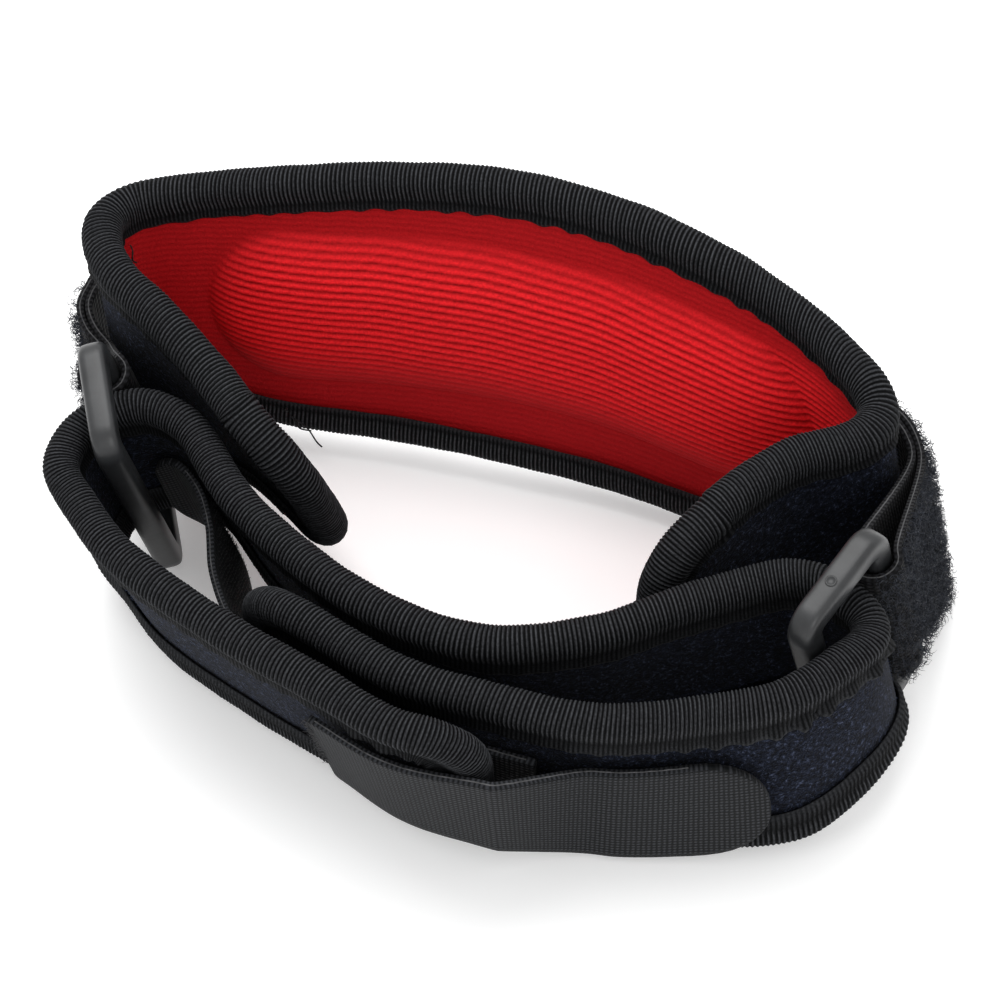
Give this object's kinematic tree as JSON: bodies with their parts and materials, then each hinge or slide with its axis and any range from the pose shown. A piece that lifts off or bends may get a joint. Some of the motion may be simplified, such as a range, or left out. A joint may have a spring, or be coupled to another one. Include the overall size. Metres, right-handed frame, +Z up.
{
  "type": "tennis elbow strap",
  "caption": "Padded forearm strap with a red ribbed lining, moulded side rings, a folded bound front strap and hook tabs, lying fastened in a loop.",
  "frame": {"origin": "on the floor the strap lies on, under the middle of its bounding box", "axes": "+Z up, the way the forearm would pass through the loop; -Y towards the front with the hook tabs; X across the loop, its longest extent"},
  "size_m": [0.1512, 0.1158, 0.0624],
  "materials": {
    "navy_fabric": "brushed loop fabric",
    "red_knit": "fine knit",
    "black_knit": "ribbed knit",
    "hook_tape": "woven, hooks inside",
    "grey_plastic": "satin",
    "dark_pile": "woven, curly pile outside"
  },
  "bodies": {
    "root": {"pad_shell": "navy_fabric", "red_lining": "red_knit", "pressure_pad": "red_knit", "pad_binding": "black_knit", "front_strap": "navy_fabric", "strap_binding": "black_knit", "left_hook_tab": "hook_tape", "right_hook_tab": "hook_tape", "left_ring": "grey_plastic", "right_ring": "grey_plastic", "left_keeper_tape": "dark_pile", "right_keeper_tape": "dark_pile"}
  },
  "joints": []
}
